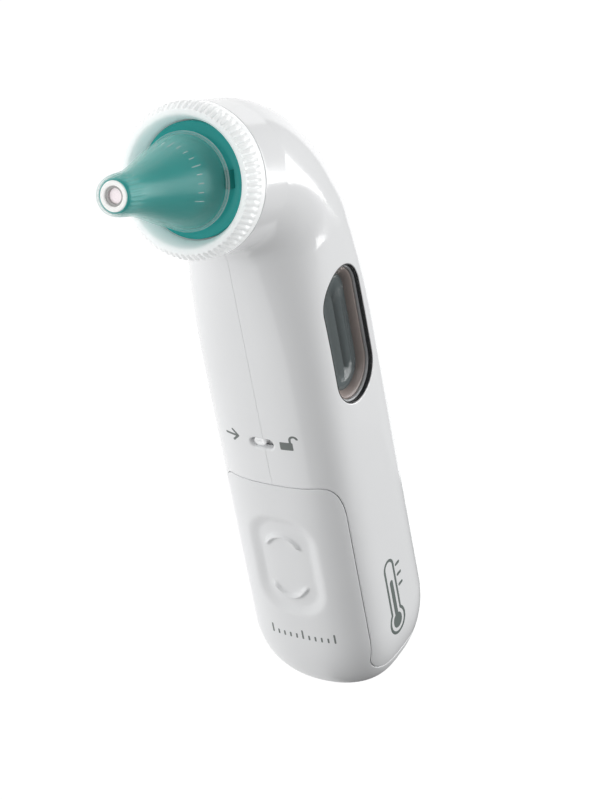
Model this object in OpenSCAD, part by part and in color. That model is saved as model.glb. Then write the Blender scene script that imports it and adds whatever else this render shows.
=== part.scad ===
// Digital ear thermometer lying on its left flank: display up, head towards -X,
// probe towards -Y. The origin is the middle of the flat left flank.

/* [Handle] */
// Distance between the two flat flanks
handle_w = 31.4; // [31.4:0.1:33]
// Depth of the handle from front to back
handle_d = 31.4; // [30:0.1:34]
// Length of the straight part of the handle
straight_len = 95; // [90:1:100]
// Length of the rounded tail
tail_len = 17.4; // [16:0.1:19]
// Wall thickness of the housing shells and the battery cover
wall = 1.8; // [1.5:0.1:2]

/* [Head] */
// Angle between the probe and the handle's front-to-back line
probe_tilt = 25; // [20:1:30]
// Radius of the collar that carries the probe
collar_r = 15.5; // [15:0.1:15.5]
// Radius of the bend under the chin
chin_r = 4.9; // [4:0.1:6]
// Distance from the end of the bend to the front of the ejector ring
collar_len = 14.2; // [13.5:0.1:15]

/* [Probe] */
// Outer radius of the ejector ring
ring_r = 15.6; // [15.4:0.1:15.7]
// Depth of the ejector ring that shows in front of the collar
ring_len = 5; // [4.5:0.1:5.2]
// Number of grip teeth round the ejector ring
ring_teeth = 60; // [40:1:72]
// Length of the lens filter from its flange to its tip
filter_len = 26.2; // [25:0.1:27]
// Outer radius of the lens filter's tip
filter_tip_r = 3.85; // [3.6:0.05:4]
// Outer radius of the lens filter's flange
flange_r = 9.9; // [9.7:0.1:10]

/* [Display] */
// Length of the display window
window_l = 31.4; // [30:0.1:32]
// Width of the display window
window_w = 14.5; // [13:0.1:15]
// Distance of the window's centre from the middle of the handle
window_x = 23.4; // [22:0.1:24]

/* [Battery] */
// Diameter of one coin cell
cell_d = 20; // [18:0.5:20]
// Thickness of one coin cell
cell_t = 3.2; // [2.5:0.1:3.2]
// Place of the battery cover's upper seam along the handle
seam_x = 7.2; // [6:0.1:8]
// Depth of the cover's side seam in front of the handle's middle
split_y = 11.3; // [11:0.1:12]

/* [Hidden] */
$fn = 64;

// Shape of the handle's cross-section: a squarish oval whose sides are cut flat
section_pts = 56;
oval_w = handle_w / 2 + 0.1;   // half width before the flanks are cut flat
oval_d = handle_d / 2;
oval_a = 2.65;                 // roundness of the front and back
oval_b = 3.9;                  // roundness of the flanks
neck_r = collar_r - 0.3;       // radius where the bend meets the collar
head_dip = 0.55;               // how far the top of the head lies inside a plain arc
round_from = 0.69;             // the oval starts to turn round this far before the bend
round_to = 0.32;               // and is round this far along it, both in units of round_len
round_len = 40;
bend_steps = 12;
neck_steps = 5;
tail_steps = 9;
tail_powers = [0.875, 0.73, 0.64]; // how the tail's length, depth and width follow its angle
tail_a = 2;                    // roundness of the tail's end
tail_b = 2.5;
tip_scale = 0.01;              // size of the tail's last section before its powers

mid_z = handle_w / 2;
half_len = straight_len / 2;
tail_start = half_len + 0.8;
pivot = [-half_len, -(oval_d + chin_r)];
axis_dir = [-sin(probe_tilt), -cos(probe_tilt)];
out_dir = [-cos(probe_tilt), sin(probe_tilt)];
ring_centre = pivot + (chin_r + collar_r) * out_dir + collar_len * axis_dir;

gap = 0.15;                    // seam gap between cover and housing
run = 0.3;                     // clearance round moving parts
tail_seam_x = half_len + 10.5;
big = 100;

inner_w = oval_w - wall;
inner_d = oval_d - wall;

window_y = -0.75;
window_t = 1.5;

sleeve_r = 12.9;               // outside of the ejector ring's guide sleeve
sleeve_in = 11.9;
sleeve_back = -14;
collar_bore = collar_r - wall;
ring_back = -ring_len;         // all probe parts: distance along the probe from the ring's front
collar_front = ring_back - run;
lip_t = 0.9;                   // lip inside the collar's mouth, set a little behind its edge
lip_set_back = 0.1;
base_front = -3.4;             // front of the teal base inside the ring
base_r = 11.6;
base_t = 3.2;
filter_wall = 0.35;
flange_t = 0.8;
filter_tip = filter_len - 0.4; // place of the tip along the probe
cone_gap = 0.15;
barrel_r = 2;
tip_ring_r = 2.9;
detector_angle = 99;            // places the pin on the display side
detector_r = 8.8;
detector_size = [1.8, 3.6];

board_z = 20;
board_t = 1;
lcd_z = 26.2;                  // back of the frame round the panel
lcd_back = lcd_z + 0.4;        // back of the panel itself
lcd_l = 22;
lcd_w = 10;
lcd_t = 1.9;

cell_x = 27;
cell_gap = 0.1;
cell_front = -11.5;
holder_front = -9.8;
holder_r = 12;
cell_pocket_r = cell_d / 2 + 0.3;
cells_back = cell_front + 2 * cell_t + cell_gap;

start_x = -35;
power_x = -12;
start_size = [17, 9.5];
power_size = [9.5, 7.5];
switch_size = [6, 3.4, 4.5];
switch_y = 5.5;
plunger_l = 0.9;
button_travel = 0.8;
button_rise = 1.1;

latch_x = -3.2;
latch_z = mid_z - 0.6;
slot_l = 5.4;
slot_w = 2.3;
latch_travel = 1.6;

screw_r = 1;
screws = [[-51, 6], [-2, 10.5], [49, 7.5]];
screw_depth = handle_w - 3;    // the screw holes stop inside the bosses
screw_fn = 22;
boss_r = 2.6;
head_r = 1.9;
head_seat = 6;                 // height of the face that the screw heads pull on

// Sections of the handle, bend and collar

function spow(v, p) = sign(v) * pow(abs(v), p);
function ease(k) = k * k * (3 - 2 * k);
function mix(a, b, k) = a + (b - a) * k;

// One section: centre, outward direction, half depth, half width, both roundness powers
function ring_pts(c, e, hd, hw, a, b, inset) = [
    for (i = [0 : section_pts - 1])
        let (t = 360 * i / section_pts,
             out = hd * spow(sin(t), 2 / b),
             up = hw * spow(cos(t), 2 / a),
             flat = mid_z - inset)
        [c[0] + e[0] * out, c[1] + e[1] * out, mid_z + max(-flat, min(flat, up))]
];

function tail_ring(angle, inset) =
    let (s = max(cos(angle), tip_scale),
         k = sin(angle))
    ring_pts([tail_start + (tail_len - inset) * pow(k, tail_powers[0]), 0], [0, 1],
        (oval_d - inset) * pow(s, tail_powers[1]), (oval_w - inset) * pow(s, tail_powers[2]),
        mix(oval_a, tail_a, k), mix(oval_b, tail_b, k), inset);

// Share of the change from squarish oval to circle, at place u along the head
function roundness(u) = ease(max(0, min(1, (u + round_from) / (round_from + round_to))));

function neck_ring(before, inset) =
    let (m = roundness(-before / round_len))
    ring_pts([before - half_len, 0], [0, 1], oval_d - inset, oval_w - inset,
        mix(oval_a, 2, m), mix(oval_b, 2, m), inset);

function bend_ring(k, inset, neck) =
    let (angle = 180 - (90 - probe_tilt) * k,
         e = [-sin(angle), -cos(angle)],
         near = chin_r + inset,
         far = mix(chin_r + 2 * oval_d, chin_r + 2 * neck, k)
             - head_dip * pow(sin(180 * k), 2) - inset,
         m = roundness(k))
    ring_pts(pivot + e * (near + far) / 2, e, (far - near) / 2,
        mix(oval_w, neck, k) - inset, mix(oval_a, 2, m), mix(oval_b, 2, m), inset);

function collar_ring(front, inset) =
    ring_pts(ring_centre + axis_dir * front, out_dir, collar_r - inset, collar_r - inset,
        2, 2, inset);

function body_rings(inset, front, neck) = concat(
    [for (i = [0 : tail_steps]) tail_ring(90 - 90 * i / tail_steps, inset)],
    [for (i = [0 : neck_steps]) neck_ring(round_len * round_from * (1 - i / (neck_steps + 1)), inset)],
    [for (i = [0 : bend_steps]) bend_ring(i / bend_steps, inset, neck)],
    [collar_ring(front, inset)]
);

// Closed solid through a list of rings of equal length
module loft(rings) {
    n = len(rings[0]);
    last = len(rings) - 1;
    polyhedron(
        points = [for (r = rings) each r],
        faces = concat(
            [[for (j = [0 : n - 1]) j]],
            [for (i = [0 : last - 1], j = [0 : n - 1])
                let (k = (j + 1) % n)
                each [[i * n + j, (i + 1) * n + k, i * n + k],
                      [i * n + j, (i + 1) * n + j, (i + 1) * n + k]]],
            [[for (j = [n - 1 : -1 : 0]) last * n + j]]
        ),
        convexity = 6);
}

module outer_body() loft(body_rings(0, collar_front, neck_r));
module inner_body() loft(body_rings(wall, collar_front + 2, collar_r));

// Place a child on the probe's axis: local +Z points out along the probe
module on_probe() translate([ring_centre[0], ring_centre[1], mid_z])
    rotate([90, 0, -probe_tilt]) children();

// Side view of everything the battery cover takes: front strip and tail end
module cover_outline() {
    corner = [8.8, 3.2];
    bend = 5;
    difference() {
        union() {
            translate([seam_x, -big]) square([big, big - split_y - corner[1]]);
            translate([seam_x + corner[0], -big]) square([big, big - split_y]);
            translate([seam_x + corner[0], -split_y - corner[1]]) scale([corner[0], corner[1]])
                circle(r = 1, $fn = 48);
            translate([tail_seam_x - bend, -split_y - 1]) square([big, bend + 1]);
            translate([tail_seam_x, -split_y - 1]) square([big, big]);
        }
        translate([tail_seam_x - bend, -split_y + bend]) circle(r = bend, $fn = 48);
        translate([tail_seam_x - 2 * bend, -split_y]) square([bend, big]);
        translate([tail_seam_x - bend - 1, -split_y + bend]) square([bend + 1, big]);
    }
}

module stadium(l, w) hull() for (s = [-1, 1]) translate([s * (l - w) / 2, 0]) circle(d = w, $fn = 48);

module window_outline(grow = 0) translate([-window_x, window_y])
    stadium(window_l + 2 * grow, window_w + 2 * grow);

module back_hole(x, size) translate([x, oval_d - 2 * wall, mid_z]) rotate([-90, 0, 0])
    linear_extrude(4 * wall) stadium(size[0] + 2 * run, size[1] + 2 * run);

module shell() {
    difference() {
        outer_body();
        inner_body();
        linear_extrude(big) offset(delta = gap / 2) cover_outline();
        translate([0, 0, mid_z + wall]) linear_extrude(big) window_outline(gap / 2);
        back_hole(start_x, start_size);
        back_hole(power_x, power_size);
        translate([latch_x, -oval_d + 2 * wall, latch_z]) rotate([90, 90, 0])
            linear_extrude(3 * wall) stadium(slot_l, slot_w);
    }
}

// Lip inside the collar's mouth that the return spring pushes on
module collar_lip() on_probe() translate([0, 0, collar_front - lip_set_back - lip_t]) difference() {
    cylinder(r = collar_bore + 0.5, h = lip_t, $fn = 72);
    translate([0, 0, -lip_t]) cylinder(r = sleeve_r + run, h = 3 * lip_t, $fn = 56);
}

module screw_boss(at) translate([at[0], at[1], wall / 2])
    cylinder(r = boss_r, h = handle_w - wall, $fn = screw_fn);

module housing_half(low, high) resize([0, 0, 0]) difference() {
    intersection() {
        union() {
            shell();
            collar_lip();
            for (s = screws) intersection() {
                screw_boss(s);
                outer_body();
            }
        }
        translate([-big, -big, low]) cube([2 * big, 2 * big, high - low]);
    }
    for (s = screws) translate([s[0], s[1], -1]) {
        cylinder(r = screw_r + 0.1, h = screw_depth, $fn = screw_fn);
        cylinder(r = head_r + 0.2, h = head_seat + 1, $fn = screw_fn);
    }
}

module housing_left() color([0.90, 0.91, 0.91]) housing_half(-1, mid_z);

module housing_right() color([0.92, 0.93, 0.93]) housing_half(mid_z, handle_w + 1);

// Door over the coin cells: front strip, rounded tail, thumb recess and tongue
module battery_cover() color([0.88, 0.89, 0.90]) resize([0, 0, 0]) {
    recess_x = 28.4;
    recess_depth = 0.7;
    difference() {
        intersection() {
            difference() {
                outer_body();
                inner_body();
            }
            linear_extrude(big) offset(delta = -gap / 2) cover_outline();
        }
        translate([recess_x, -oval_d + recess_depth, mid_z]) rotate([90, 0, 0])
            linear_extrude(wall) stadium(22, 14.5);
    }
    translate([recess_x, -oval_d + recess_depth + 0.2, mid_z]) rotate([90, 0, 0])
        for (s = [-1, 1]) linear_extrude(0.8) intersection() {
            difference() {
                circle(r = 7.6, $fn = 48);
                circle(r = 6.6, $fn = 48);
            }
            translate([s * 9, 0]) square([10, 9], center = true);
        }
    tongue_t = 0.8;
    tongue_w = 12;
    tongue_y = -inner_d + 0.7;
    translate([seam_x - 2, tongue_y, mid_z - tongue_w / 2]) cube([4.6, tongue_t, tongue_w]);
    translate([seam_x + 0.6, -inner_d - 0.5, mid_z - tongue_w / 2 + 0.5])
        cube([2, 0.7 + 0.5 + tongue_t / 2, tongue_w - 1]);
}

module display_window() color([0.20, 0.21, 0.22, 0.9]) resize([0, 0, 0]) intersection() {
    translate([0, 0, handle_w - window_t]) linear_extrude(window_t) window_outline(-gap / 2);
    translate([0, 0, -0.02]) outer_body();
}

module lcd_frame() color([0.08, 0.08, 0.09]) translate([0, 0, lcd_z])
    linear_extrude(handle_w - window_t - lcd_z - 0.1) difference() {
        window_outline(-0.9);
        translate([-window_x, window_y]) square([lcd_l + 0.2, lcd_w + 0.2], center = true);
    }

module lcd_panel() color([0.40, 0.43, 0.42])
    translate([-window_x - lcd_l / 2, window_y - lcd_w / 2, lcd_back]) cube([lcd_l, lcd_w, lcd_t]);

module contact_strips() color([0.25, 0.25, 0.25]) for (y = [-4.6, 2.6])
    translate([-window_x - 10, window_y + y, board_z + board_t])
        cube([20, 2, lcd_back - board_z - board_t]);

module main_board() color([0.05, 0.35, 0.20]) translate([0, 0, board_z]) linear_extrude(board_t)
    difference() {
        translate([-44, -11]) square([52, 20]);
        translate(screws[1]) circle(r = boss_r + 0.5);
    }

module controller_chip() color([0.10, 0.10, 0.10]) translate([-27, -5, board_z - 1.4]) cube([9, 9, 1.4]);

module buzzer() color([0.12, 0.12, 0.12]) translate([1, -2, board_z - 3]) cylinder(d = 9, h = 3);

// Side-push switch hung under the edge of the board
module side_switch(x) translate([x - switch_size[0] / 2, switch_y, board_z - switch_size[2]]) {
    cube(switch_size);
    translate([switch_size[0] / 2, switch_size[1], 1.6]) rotate([-90, 0, 0])
        cylinder(d = 2.4, h = plunger_l);
}

module start_switch() color([0.75, 0.76, 0.78]) side_switch(start_x);

module power_switch() color([0.75, 0.76, 0.78]) side_switch(power_x);

// Push button through the back wall with a retaining flange and a stem to its switch
module push_button(x, size) translate([x, 0, mid_z]) rotate([-90, 0, 0]) {
    cap_top = oval_d + button_rise;
    rim_back = inner_d - 1.4;
    rim_t = 0.9;
    stem_end = switch_y + switch_size[1] + plunger_l + button_travel + 0.2;
    translate([0, 0, rim_back + rim_t - 0.1])
        linear_extrude(cap_top - rim_back - rim_t + 0.1) stadium(size[0], size[1]);
    translate([0, 0, rim_back]) linear_extrude(rim_t) stadium(size[0] + 1.6, size[1] + 1.4);
    translate([0, -0.6, stem_end]) cylinder(d = 3, h = rim_back - stem_end + 0.1);
}

module start_button() color([0.55, 0.58, 0.60]) push_button(start_x, start_size);

module power_button() color([0.55, 0.58, 0.60]) push_button(power_x, power_size);

module along_y(y) translate([cell_x, y, mid_z]) rotate([-90, 0, 0]) children();

module battery_holder() color([0.15, 0.15, 0.16]) {
    floor_t = 1.6;
    difference() {
        union() {
            along_y(holder_front) cylinder(r = holder_r, h = cells_back + 0.6 + floor_t - holder_front);
            translate([cell_x - 16, cells_back + 0.6, mid_z - 9]) cube([32, floor_t, 18]);
        }
        along_y(cell_front - 1) cylinder(r = cell_pocket_r, h = cells_back - cell_front + 1.6);
        translate([cell_x + 6, cell_front - 1, mid_z - 4.5]) cube([10, cells_back - cell_front + 1, 9]);
    }
}

module coin_cells() color([0.78, 0.79, 0.80]) for (i = [0, 1])
    along_y(cell_front + i * (cell_t + cell_gap)) {
        cylinder(d = cell_d - 2.4, h = cell_t);
        cylinder(d = cell_d, h = cell_t - 0.3);
    }

module cell_contact_plus() color([0.80, 0.78, 0.70]) {
    x = cell_x + cell_pocket_r;
    translate([x + 0.2, cell_front + 1, mid_z - 2]) cube([0.3, 5, 4]);
    translate([x - 0.25, cell_front + 1.5, mid_z - 2]) cube([0.5, 1.2, 4]);
}

module cell_contact_minus() color([0.80, 0.78, 0.70]) {
    translate([cell_x - 6, cells_back + 0.35, mid_z - 2]) cube([12, 0.25, 4]);
    translate([cell_x - 1.5, cells_back + 0.02, mid_z - 1.5]) cube([3, 0.35, 3]);
}

// Slider behind the front wall, with a nub that shows in the release slot
module door_latch() color([0.86, 0.87, 0.87]) translate([latch_x, 0, latch_z - latch_travel / 2]) {
    plate_y = -inner_d + 0.7;
    translate([-2.6, plate_y, -4.2]) cube([5.2, 1, 8.4]);
    translate([0, plate_y + 0.2, 0]) rotate([90, 90, 0]) linear_extrude(1.7) stadium(2.8, slot_w - 2 * gap);
    translate([2.4, plate_y, -1.5]) cube([5, 0.8, 3]);
}

// Radius of the lens filter's outside at distance t behind its tip
function filter_r(t) = filter_tip_r + 0.115 * t + 2.1 * pow(t / filter_len, 3);

// Radius of the teal cone's outside, which clears the filter and leaves it near its base
function cone_r(t) = filter_r(t) - filter_wall - cone_gap - 1.1 * ease(min(1, t / filter_len));

cone_steps = 14;
cone_tip = filter_tip - 0.6;
flange_a = -0.3 - flange_t;    // back of the filter's flange

module probe_cone() color([0.30, 0.62, 0.61]) on_probe() {
    root_t = filter_tip - base_front;
    difference() {
        rotate_extrude() polygon(concat(
            [[0, base_front - base_t], [base_r, base_front - base_t], [base_r, base_front],
             [cone_r(filter_len) + 2.2, base_front], [cone_r(filter_len) + 0.8, base_front + 0.5]],
            [for (i = [cone_steps : -1 : 0]) let (t = (cone_tip - flange_a) * i / cone_steps)
                [cone_r(t) - (i == 0 ? 0.2 : 0), cone_tip - t]],
            [[0, cone_tip]]));
        translate([0, 0, base_front - 4]) cylinder(r = barrel_r + 0.05, h = root_t + 4);
        translate([0, 0, cone_tip - 1.2]) cylinder(r = tip_ring_r + 0.02, h = 2);
        at_detector() pin_block(base_front - base_t - 1, base_front + 3, run / 2);
    }
}

// White insulating ring pressed into the cone's tip
module tip_ring() color([0.97, 0.96, 0.95]) on_probe() difference() {
    translate([0, 0, cone_tip - 1.15]) cylinder(r = tip_ring_r, h = 1.15);
    translate([0, 0, cone_tip - 2]) cylinder(r = barrel_r + 0.02, h = 3);
}

module sensor_barrel() color([0.70, 0.71, 0.72]) on_probe() difference() {
    translate([0, 0, -8]) cylinder(r = barrel_r, h = cone_tip - 0.3 + 8);
    translate([0, 0, -9]) cylinder(r = 1.55, h = cone_tip + 10);
}

module waveguide_tube() color([0.85, 0.68, 0.30]) on_probe() difference() {
    translate([0, 0, 4]) cylinder(r = 1.5, h = cone_tip - 1.4 - 4);
    translate([0, 0, 3]) cylinder(r = 1.2, h = cone_tip);
}

module thermopile_sensor() color([0.80, 0.80, 0.82]) on_probe() {
    translate([0, 0, 0.2]) cylinder(r = 1.5, h = 3.7);
    for (a = [45 : 90 : 315]) rotate(a) translate([0.8, 0, -8.5]) cylinder(r = 0.2, h = 8.9, $fn = 16);
}

module sensor_window() color([0.86, 0.84, 0.85]) on_probe()
    translate([0, 0, cone_tip - 1.35]) cylinder(r = 1.5, h = 0.5);

module sensor_cable() color([0.75, 0.45, 0.15]) resize([0, 0, 0]) {
    start = ring_centre + axis_dir * -9;
    stops = [start, start - 10 * axis_dir, [-50, -3], [-42, -6]];
    for (i = [0 : len(stops) - 2]) hull() for (k = [0, 1])
        translate([stops[i + k][0], stops[i + k][1], mid_z + 0.9 * (i + k)])
            cube([0.4, 0.4, 5 - (i + k)], center = true);
}

// Clear cone that slips over the probe, with a thin flange for the ejector ring
module lens_filter() color([0.85, 0.95, 0.95, 0.35]) on_probe() {
    top = filter_tip - flange_a - flange_t;
    steps = [for (i = [1 : cone_steps]) top * i / cone_steps];
    rotate_extrude() polygon(concat(
        [[filter_tip_r - 0.6, filter_tip], [filter_tip_r - 0.25, filter_tip]],
        [for (t = steps) [filter_r(t), filter_tip - t]],
        [[flange_r, flange_a + flange_t], [flange_r, flange_a],
         [filter_r(top + flange_t) - filter_wall, flange_a]],
        [for (i = [cone_steps - 1 : -1 : 0]) [filter_r(steps[i]) - filter_wall, filter_tip - steps[i]]],
        [[filter_tip_r - 0.6, filter_tip - 0.3]]));
}

module filter_film() color([0.90, 0.95, 0.95, 0.4]) on_probe()
    translate([0, 0, filter_tip - 0.3]) cylinder(r = filter_tip_r - 0.65, h = 0.12);

// Flat sprung pin that the lens filter's flange holds down
module at_detector() rotate(detector_angle) translate([detector_r, 0, 0]) children();

module pin_block(low, high, grow = 0) translate([0, 0, (low + high) / 2])
    cube([detector_size[0] + 2 * grow, detector_size[1] + 2 * grow, high - low], center = true);

module filter_detector() color([0.10, 0.25, 0.25]) on_probe() at_detector() {
    pin_block(-9.6, flange_a - 0.1);
    pin_block(-9.6, -8.8, 0.5);
}

module detector_switch() color([0.20, 0.20, 0.22]) on_probe() at_detector() pin_block(-12.6, -9.7, 0.4);

// Inner chassis that holds the cone and the sensor, fixed behind the ring's sleeve
module probe_carrier() color([0.20, 0.21, 0.22]) on_probe() {
    plate_back = base_front - base_t - 1.2;
    carrier_back = -17;
    difference() {
        rotate_extrude() polygon([
            [barrel_r + 0.05, base_front - base_t], [base_r - 0.2, base_front - base_t],
            [base_r - 0.2, plate_back], [6.8, plate_back], [6.8, carrier_back + 1.2],
            [13.3, carrier_back + 1.2], [13.3, carrier_back], [5.5, carrier_back],
            [5.5, plate_back], [barrel_r + 0.05, plate_back]]);
        at_detector() pin_block(plate_back - 1, base_front, run / 2);
    }
}

// Translucent ring that slides forward to push the lens filter off
module ejector_ring() color([0.90, 0.93, 0.94, 0.6]) on_probe() {
    rim_r = 14.4;
    tooth_d = 1.1;
    difference() {
        rotate_extrude($fn = 96) polygon([
            [sleeve_in, -3], [sleeve_in + 0.7, -0.8], [sleeve_in + 1.3, 0], [rim_r, 0], [ring_r, -1.9],
            [ring_r, ring_back], [sleeve_r, ring_back], [sleeve_r, sleeve_back + 0.8],
            [sleeve_r + 0.5, sleeve_back + 0.8], [sleeve_r + 0.5, sleeve_back],
            [sleeve_in, sleeve_back]]);
        for (i = [0 : ring_teeth - 1]) rotate(360 * i / ring_teeth)
            translate([rim_r + 0.55, 0, -0.3]) rotate([0, -32, 0])
                cube([tooth_d, 0.75, 2.6], center = true);
    }
    for (a = [65, 155, 245, 335]) rotate(a) translate([9.3, -1.5, flange_a - 1.1])
        cube([sleeve_in - 9.3 + 0.3, 3, 0.8]);
}

// Flat-wire return spring round the guide sleeve, drawn as separate coils
module ejector_spring() color([0.70, 0.71, 0.72]) on_probe() for (i = [0 : 4])
    translate([0, 0, sleeve_back + 1 + 1.5 * i]) rotate_extrude() translate([sleeve_r + 0.1, 0])
        square([0.55, 0.35]);

module housing_screws() color([0.60, 0.61, 0.62]) for (s = screws) translate([s[0], s[1], 0]) {
    translate([0, 0, head_seat - 1.4]) cylinder(r = head_r, h = 1.4);
    translate([0, 0, head_seat - 0.5]) cylinder(r = screw_r, h = 18);
}

housing_left();
housing_right();
battery_cover();
display_window();
lcd_frame();
lcd_panel();
contact_strips();
main_board();
controller_chip();
buzzer();
start_switch();
power_switch();
start_button();
power_button();
battery_holder();
coin_cells();
cell_contact_plus();
cell_contact_minus();
door_latch();
ejector_ring();
ejector_spring();
probe_carrier();
probe_cone();
tip_ring();
sensor_barrel();
waveguide_tube();
thermopile_sensor();
sensor_window();
sensor_cable();
lens_filter();
filter_film();
filter_detector();
detector_switch();
housing_screws();
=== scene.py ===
import math
import bpy
import numpy as np
from mathutils import Matrix, Vector


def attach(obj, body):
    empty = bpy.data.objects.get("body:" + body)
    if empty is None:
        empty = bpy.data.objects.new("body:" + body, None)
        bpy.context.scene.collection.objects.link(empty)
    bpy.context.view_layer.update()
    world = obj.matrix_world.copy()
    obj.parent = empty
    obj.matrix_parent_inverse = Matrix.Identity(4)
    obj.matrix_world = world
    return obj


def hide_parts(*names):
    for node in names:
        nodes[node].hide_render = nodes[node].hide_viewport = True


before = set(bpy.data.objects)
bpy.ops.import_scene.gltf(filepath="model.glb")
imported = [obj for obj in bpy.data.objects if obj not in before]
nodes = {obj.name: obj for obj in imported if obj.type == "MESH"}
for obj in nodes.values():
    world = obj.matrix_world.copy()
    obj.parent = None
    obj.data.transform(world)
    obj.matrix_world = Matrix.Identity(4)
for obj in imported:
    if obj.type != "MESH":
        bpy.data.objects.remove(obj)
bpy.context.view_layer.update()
mm = 0.001
print("stage: frame loaded")

# Shape of the handle, in millimetres.
body = {
    "halfLength": 47.5, "tailStart": 48.3, "tailLength": 17.4, "halfWidth": 15.8, "halfDepth": 15.7,
    "flat": 15.7, "sidePower": 2.65, "frontPower": 3.9, "chinRadius": 4.9, "collarRadius": 15.5,
    "neckRadius": 15.2, "headDip": 0.55,
    "tailAlongPower": 0.875, "tailDepthPower": 0.73, "tailWidthPower": 0.64, "tailSidePower": 2.0,
    "tailFrontPower": 2.5, "roundFrom": 0.69, "roundTo": 0.32, "roundLength": 40.0,
    "probeTilt": 25.0, "collarLength": 14.2, "collarFront": -5.3, "collarHidden": 0.6, "wall": 1.6,
    "skinInset": 0.03, "aroundSteps": 196, "tailSteps": 48, "straightSteps": 172, "bendSteps": 72,
    "collarSteps": 18,
}
midZ = 15.7
tilt = math.radians(body["probeTilt"])
axisDir = np.array([-math.sin(tilt), -math.cos(tilt), 0.0])
outDir = np.array([-math.cos(tilt), math.sin(tilt), 0.0])
upDir = np.array([0.0, 0.0, 1.0])
pivot = np.array([-body["halfLength"], -(body["halfDepth"] + body["chinRadius"]), 0.0])
ringCentre = (pivot + (body["chinRadius"] + body["collarRadius"]) * outDir
              + body["collarLength"] * axisDir + midZ * upDir)


def ease(k):
    return k * k * (3 - 2 * k)


def mix(a, b, k):
    return a + (b - a) * k


# Share of the change from squarish oval to circle at place u along the head: a smooth step.
def roundness(u):
    return ease(np.clip((u + body["roundFrom"]) / (body["roundFrom"] + body["roundTo"]), 0, 1))


# Half depth, half width and both powers of the section at place x of the handle or its tail.
def sectionAt(x):
    b = body
    sine = np.clip((x - b["tailStart"]) / b["tailLength"], 0, 1) ** (1 / b["tailAlongPower"])
    size = np.sqrt(np.clip(1 - sine ** 2, 1e-9, 1))
    m = roundness((-b["halfLength"] - x) / b["roundLength"])
    side = mix(mix(b["sidePower"], 2, m), b["tailSidePower"], sine)
    front = mix(mix(b["frontPower"], 2, m), b["tailFrontPower"], sine)
    depth = b["halfDepth"] * size ** b["tailDepthPower"]
    return depth, b["halfWidth"] * size ** b["tailWidthPower"], side, front


# Stations along the body: each has a centre, an outward direction, two half sizes and two powers.
# The tail shrinks as powers of the cosine of its angle, the bend turns about the chin, and the collar
# runs straight.
def bodyStations():
    b = body
    angle = np.radians(np.linspace(90, 0, b["tailSteps"]))
    x = np.concatenate([b["tailStart"] + b["tailLength"] * np.sin(angle) ** b["tailAlongPower"],
                        np.linspace(b["tailStart"], -b["halfLength"], b["straightSteps"])[1:-1]])
    one = np.ones_like
    handle = [x, 0 * x, 0 * x, one(x), *sectionAt(x)]
    k = np.linspace(0, 1, b["bendSteps"])
    turn = np.radians(180 - (90 - b["probeTilt"]) * k)
    ex, ey = -np.sin(turn), -np.cos(turn)
    far = (mix(b["chinRadius"] + 2 * b["halfDepth"], b["chinRadius"] + 2 * b["neckRadius"], k)
           - b["headDip"] * np.sin(np.pi * k) ** 2)
    middle = (b["chinRadius"] + far) / 2
    m = roundness(k)
    bend = [pivot[0] + ex * middle, pivot[1] + ey * middle, ex, ey, (far - b["chinRadius"]) / 2,
            mix(b["halfWidth"], b["neckRadius"], k), mix(b["sidePower"], 2, m),
            mix(b["frontPower"], 2, m)]
    run = np.linspace(0, 1, b["collarSteps"])[1:]
    first = np.array([bend[0][-1], bend[1][-1]])
    last = ringCentre[:2] + axisDir[:2] * (b["collarFront"] + b["collarHidden"])
    radius = mix(b["neckRadius"], b["collarRadius"], run)
    collar = [mix(first[0], last[0], run), mix(first[1], last[1], run), outDir[0] * one(run),
              outDir[1] * one(run), radius, radius, 2 * one(run), 2 * one(run)]
    return [np.concatenate(part) for part in zip(handle, bend, collar)]


# Radius of a two-power oval in direction t: the root of (r sin t / depth)^p + (r cos t / width)^q = 1.
def ovalRadius(t, depth, width, q, p):
    depth, width = np.maximum(depth, 1e-6), np.maximum(width, 1e-6)
    s, c = np.maximum(np.abs(np.sin(t)), 1e-9), np.maximum(np.abs(np.cos(t)), 1e-9)
    r = np.minimum(depth / s, width / c)
    for _ in range(14):
        a, b = (r * s / depth) ** p, (r * c / width) ** q
        r = r - (a + b - 1) / (p * a / r + q * b / r)
    return r


# Half width with its sides pressed flat: w - (sqrt((w - u)^2 + e^2) - e), so no crease shows.
def pressFlat(up):
    spare = body["halfWidth"] - body["flat"]
    lack = np.sqrt((body["halfWidth"] - np.abs(up)) ** 2 + spare ** 2)
    return np.sign(up) * (body["flat"] + spare - lack)


def bodyGrid():
    cx, cy, ex, ey, hd, hw, q, p = [v[:, None] for v in bodyStations()]
    t = (np.arange(body["aroundSteps"]) / body["aroundSteps"] * 2 * np.pi)[None, :]
    r = ovalRadius(t, hd, hw, q, p)
    out, up = r * np.sin(t), pressFlat(r * np.cos(t))
    return np.stack([cx + ex * out, cy + ey * out, midZ + up], axis=-1)


# A skin is a dictionary of whole arrays: points, normals, tris and how deep each point is sunk.
# Triangles of a grid of points, rows by columns.
def gridTris(rows, cols, closedAround=True, closedAlong=False):
    i = np.arange(rows if closedAlong else rows - 1)[:, None]
    j = np.arange(cols if closedAround else cols - 1)[None, :]
    i2, j2 = (i + 1) % rows, (j + 1) % cols
    a, b, c, d = i * cols + j, i * cols + j2, i2 * cols + j2, i2 * cols + j
    quads = np.stack(np.broadcast_arrays(a, b, c, d), axis=-1).reshape(-1, 4)
    return np.vstack([quads[:, [0, 1, 2]], quads[:, [0, 2, 3]]])


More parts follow.
